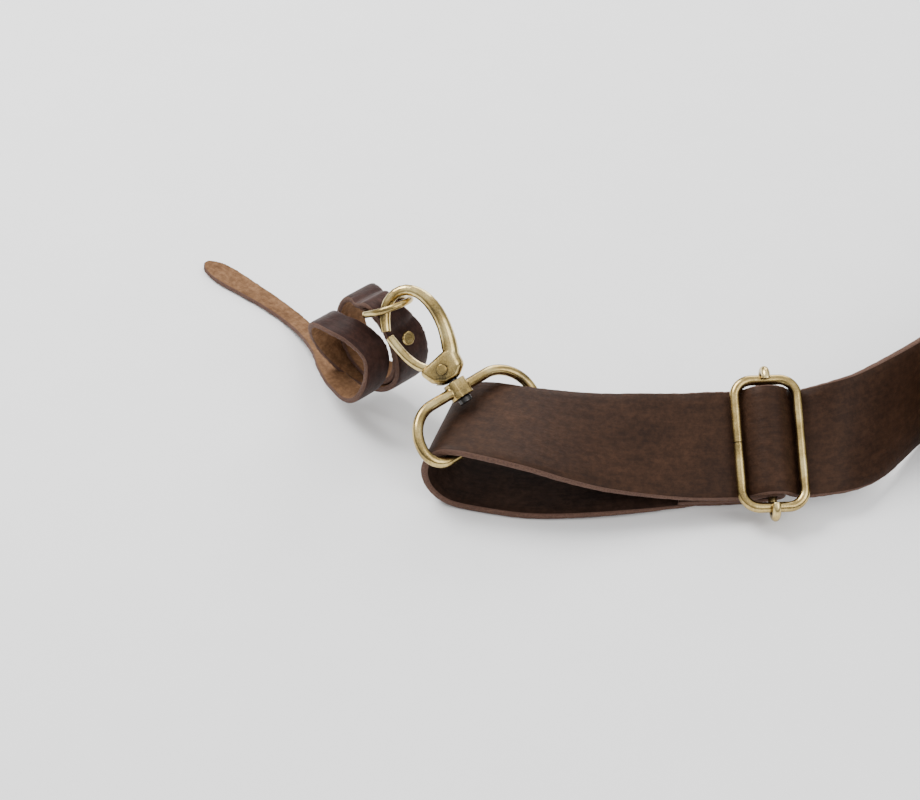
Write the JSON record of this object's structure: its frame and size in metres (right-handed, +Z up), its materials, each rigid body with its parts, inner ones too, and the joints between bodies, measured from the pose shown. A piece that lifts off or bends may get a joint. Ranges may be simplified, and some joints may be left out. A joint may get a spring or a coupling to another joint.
{
  "type": "leather carrying strap with swivel snap hooks, for a horn",
  "caption": "Dark leather carrying strap with a wire slider, brass swivel snap hooks and a leather collar that grips a horn.",
  "frame": {"origin": "centre of the closed collar's bore, where a horn of 28 mm diameter passes", "axes": "+X along the laid-out strap from the collar towards the stored coil, +Y away from the viewer, +Z up from the table, which is at z = -26.5 mm"},
  "size_m": [0.4116, 0.1713, 0.0586],
  "materials": {
    "strap_leather": "waxed matt dark brown",
    "collar_leather": "waxed matt dark brown, tan flesh side",
    "antique_brass": "antique brass plate, worn bright on the high spots",
    "dark_steel": "dark turned steel"
  },
  "bodies": {
    "strap": {"main_strap": "strap_leather", "slider_rivet": "antique_brass", "far_rivet_upper": "antique_brass", "far_rivet_lower": "antique_brass", "slider_frame": "antique_brass", "slider_bar": "antique_brass"},
    "loop": {"swivel_loop": "antique_brass"},
    "hook": {"hook_body": "antique_brass", "swivel_pin": "dark_steel", "gate_pin": "antique_brass"},
    "gate_arm": {"gate": "antique_brass"},
    "ring": {"d_ring": "antique_brass"},
    "collar": {"collar_strap": "collar_leather", "collar_rivet": "antique_brass"},
    "loop_far": {"swivel_loop_far": "antique_brass"},
    "hook_far": {"hook_body_far": "antique_brass", "swivel_pin_far": "dark_steel", "gate_pin_far": "antique_brass"},
    "gate_arm_far": {"gate_far": "antique_brass"}
  },
  "joints": [
    {"name": "loop_tilt", "type": "hinge", "parent": "strap", "child": "loop", "pos_m": [0.05128, -0.03564, -0.00567], "axis": [0.7314, 0.682, 0], "range_deg": [-2, 20]},
    {"name": "hook_swivel", "type": "hinge", "parent": "loop", "child": "hook", "pos_m": [0.0408, -0.0244, 0.0055], "axis": [-0.5517, 0.5917, 0.5878], "continuous": true},
    {"name": "gate_open", "type": "hinge", "parent": "hook", "child": "gate_arm", "pos_m": [0.0357, -0.01949, 0.01023], "axis": [0.1773, 0.7719, -0.6106], "range_deg": [0, 28], "stiffness_Nm_per_rad": 0.05},
    {"name": "ring_swing", "type": "hinge", "parent": "hook", "child": "ring", "pos_m": [0.01589, -0.00365, 0.0245], "axis": [0.7039, 0.6983, -0.1299], "range_deg": [-4, 8]},
    {"name": "collar_swing", "type": "hinge", "parent": "ring", "child": "collar", "pos_m": [0.0132, 0.0024, 0.0198], "axis": [0.7039, 0.6983, -0.1299], "range_deg": [-3, 15]},
    {"name": "far_loop_tilt", "type": "hinge", "parent": "strap", "child": "loop_far", "pos_m": [0.28076, 0.02026, 0.0005], "axis": [0, 0, 1], "range_deg": [-10, 10]},
    {"name": "far_hook_swivel", "type": "hinge", "parent": "loop_far", "child": "hook_far", "pos_m": [0.29419, 0.00683, 0.0005], "axis": [0.7071, -0.7071, 0], "continuous": true},
    {"name": "far_gate_open", "type": "hinge", "parent": "hook_far", "child": "gate_arm_far", "pos_m": [0.30056, 0.00117, 0.0005], "axis": [0, 0, -1], "range_deg": [0, 28], "stiffness_Nm_per_rad": 0.05}
  ]
}
